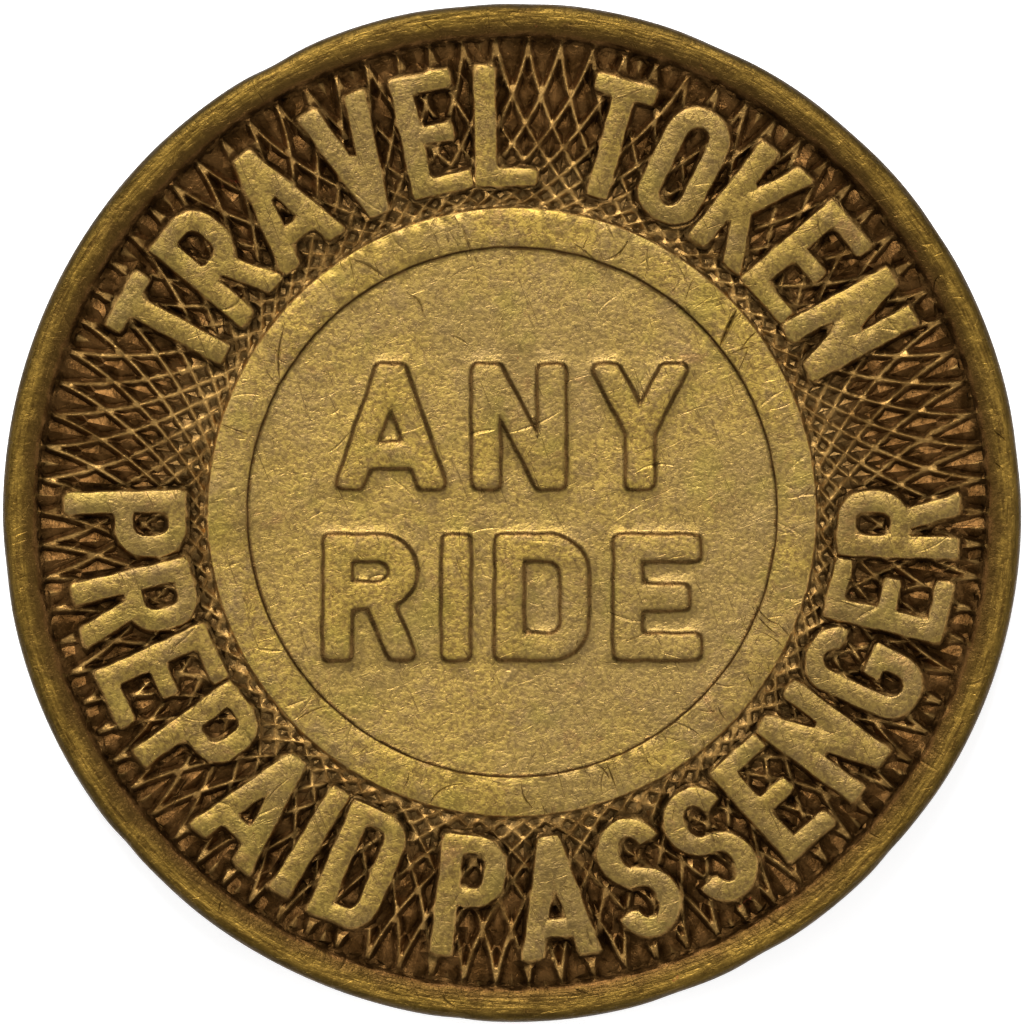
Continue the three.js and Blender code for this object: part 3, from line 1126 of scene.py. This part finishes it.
def stained_metal(n, p):
    """The open metal with its paler disc, darker legend and stains."""
    colour = n.mixed(n.maths("MULTIPLY", on_disc(n, p.r), 0.24), open_metal(n, p), DISC_METAL)
    colour = n.mixed(n.spread(p.stain, 0.56, 0.74, 0.0, 0.45), colour, SMUDGE)
    colour = n.patched(colour, SPOT, 0.55, 0.66, 0.72, 1800, 3, 0.75, 0.8)
    colour = n.patched(colour, GREENISH, 0.35, 0.54, 0.68, 1100, 3, 0.6)
    colour = n.mixed(n.spread(p.r, 5.0, 5.4, 0.0, 0.36), colour, FIELD_METAL)
    return n.patched(colour, REDDISH, 0.40, 0.58, 0.72, 1500, 4, 0.7, 0.5)


def with_rim(n, p, colour):
    """The metal with the rim's own darker brown, and painted shade along both sides of its land: on its
    inner band, which falls inwards, and on the corner where it rolls over into the edge.
    """
    tone = n.maths("MULTIPLY_ADD", p.stain, 0.35, n.maths("MULTIPLY", p.streak, 0.9))
    land = n.mixed(n.spread(tone, 0.44, 0.80), RIM_DARK, RIM_LIGHT)
    colour = n.mixed(n.maths("MULTIPLY", p.on_rim, 0.85), colour, land)
    # Painted shade on the inner band of the land, which falls inwards, along with a browner tone.
    inner = n.maths("MULTIPLY", p.on_rim, n.spread(p.r, 7.76, 7.96, 0.65, 0.0))
    colour = n.mixed(inner, colour, RIM_INNER_SHADED)
    # Painted shade on the corner where the land rolls over into the edge.
    return n.mixed(n.spread(p.r, 8.05, 8.20, 0.0, 0.85), colour, RIM_CORNER_SHADE)


def with_patina(n, p, colour):
    """The metal turning brown and then nearly black as it sinks, with dirt and painted shade in the
    corners.
    """
    brown = n.mixed(n.spread(p.stain, 0.36, 0.62), *BROWNS)
    brown = n.mixed(p.on_rim, brown, RIM_BROWN)
    deep = n.mixed(n.spread(p.blotch, 0.38, 0.60), *DEEPS)
    deep = n.mixed(n.spread(p.r, 5.1, 6.1, 0.75, 0.0), deep, INNER_DEEP)
    black = n.mixed(n.spread(p.blotch, 0.4, 0.62), *DIRT_AND_SHADE_BLACKS)
    colour = n.mixed(p.tarnish, colour, brown)
    colour = n.mixed(n.spread(p.level, 0.036, 0.062), colour, deep)
    # Painted shade and dirt: the metal goes nearly black where that mask runs high.
    colour = n.mixed(n.maths("MULTIPLY", p.dirt_and_shade, 0.9), colour, black)
    return n.patched(colour, RUST, 0.5, 0.70, 0.78, 2600, 4, 0.7, 1.0)


def fine_bump(n, p):
    """Grain, blotches, scratches, pits in the patina and lines round the rim and ring."""
    height = n.maths("MULTIPLY_ADD", p.grain, 0.55, n.maths("MULTIPLY", p.blotch, 1.1))
    height = n.maths("SUBTRACT", height, n.maths("MULTIPLY", p.lines, 0.35))
    pitted = n.maths("MULTIPLY", p.cover, n.noise(7000, 3, 0.7))
    height = n.maths("MULTIPLY_ADD", pitted, 0.5, height)
    run_round = n.maths("ADD", p.on_rim, n.spread(p.r, RING_IN - 0.06, RING_IN + 0.01, 0.0, 0.25))
    height = n.maths("MULTIPLY_ADD", n.maths("MULTIPLY", run_round, p.streak), 0.7, height)
    bump = n.add("Bump")
    fix(bump, Strength=0.8, Distance=BUMP_DEPTH)
    n.feed(bump.inputs["Height"], height)
    return bump.outputs["Normal"]


def aged_brass():
    n = Nodes("aged_brass")
    p = Patterns(n)
    rough = n.maths("ADD", n.spread(p.cover, 0, 1, 0.46, 0.45), n.spread(p.grain, 0.3, 0.7, -0.07, 0.07))
    shader = n.add("BsdfPrincipled")
    n.feed(shader.inputs["Base Color"], with_patina(n, p, with_rim(n, p, stained_metal(n, p))))
    n.feed(shader.inputs["Roughness"], rough)
    fix(shader, Metallic=1.0)
    n.feed(shader.inputs["Normal"], fine_bump(n, p))
    n.feed(n.add("OutputMaterial").inputs["Surface"], shader.outputs[0])
    return n.material


# ---- the stage: pale floor, soft studio light and a camera straight above ----

FLOOR_HALF = 1.0
FLOOR_GAP = 0.00002  # between the floor and the token, in metres
FLOOR_GLOW = 0.45
PALE, WHITE = (0.95, 0.95, 0.95, 1), (1, 1, 1, 1)
SKY = 0.42
# Square lamps turned to the token: name, place and width in metres, power in watts.
LAMPS = (
    ("key", (-0.10, 0.60, 0.66), 0.40, 12.5),
    ("left", (-0.85, 0.05, 0.42), 0.60, 3.6),
    ("right", (0.85, -0.05, 0.42), 0.60, 3.6),
    ("front", (0.15, -0.85, 0.42), 0.60, 2.6),
)
CAMERA_HEIGHT = 0.30
SENSOR = 36
FRAMING = 1.0043  # half of the view's width, as a multiple of the token's radius


def show(piece):
    bpy.context.scene.collection.objects.link(piece)


def floor_material():
    material = bpy.data.materials.new("pale_floor")
    material.use_nodes = True
    shader = material.node_tree.nodes["Principled BSDF"]
    fix(shader, Base_Color=PALE, Roughness=0.9, Emission_Color=WHITE, Emission_Strength=FLOOR_GLOW)
    return material


def build_floor():
    mesh = bpy.data.meshes.new("floor")
    half, z = FLOOR_HALF, LOW.z - FLOOR_GAP
    corners = [(-half, -half, z), (half, -half, z), (half, half, z), (-half, half, z)]
    mesh.from_pydata(corners, [], [(0, 1, 2, 3)])
    mesh.materials.append(floor_material())
    floor = bpy.data.objects.new("floor", mesh)
    show(floor)


def build_light():
    world = bpy.data.worlds.new("studio")
    bpy.context.scene.world = world
    world.use_nodes = True
    fix(world.node_tree.nodes["Background"], Color=WHITE, Strength=SKY)
    for name, position, width, power in LAMPS:
        light = bpy.data.lights.new(name, "AREA")
        light.size = width
        light.energy = power
        lamp = bpy.data.objects.new(name, light)
        lamp.location = position
        lamp.rotation_euler = (-Vector(position)).to_track_quat("-Z", "Y").to_euler()
        show(lamp)


def build_camera():
    """Straight above the obverse, with a long lens and the token filling the frame."""
    camera = bpy.data.cameras.new("camera")
    camera.sensor_width = SENSOR
    camera.lens = SENSOR * CAMERA_HEIGHT / (2 * RADIUS * MM * FRAMING)
    camera.clip_start = 0.01
    camera.clip_end = 10
    holder = bpy.data.objects.new("camera", camera)
    holder.location = (0, 0, HIGH.z + CAMERA_HEIGHT)
    show(holder)
    bpy.context.scene.camera = holder


build_camera()
build_floor()
build_light()
bpy.context.scene.view_settings.view_transform = "Standard"

token = bpy.data.objects.new("struck_relief", token_mesh())
show(token)
token.data.materials.append(aged_brass())
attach(token, "root")
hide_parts(NODE)
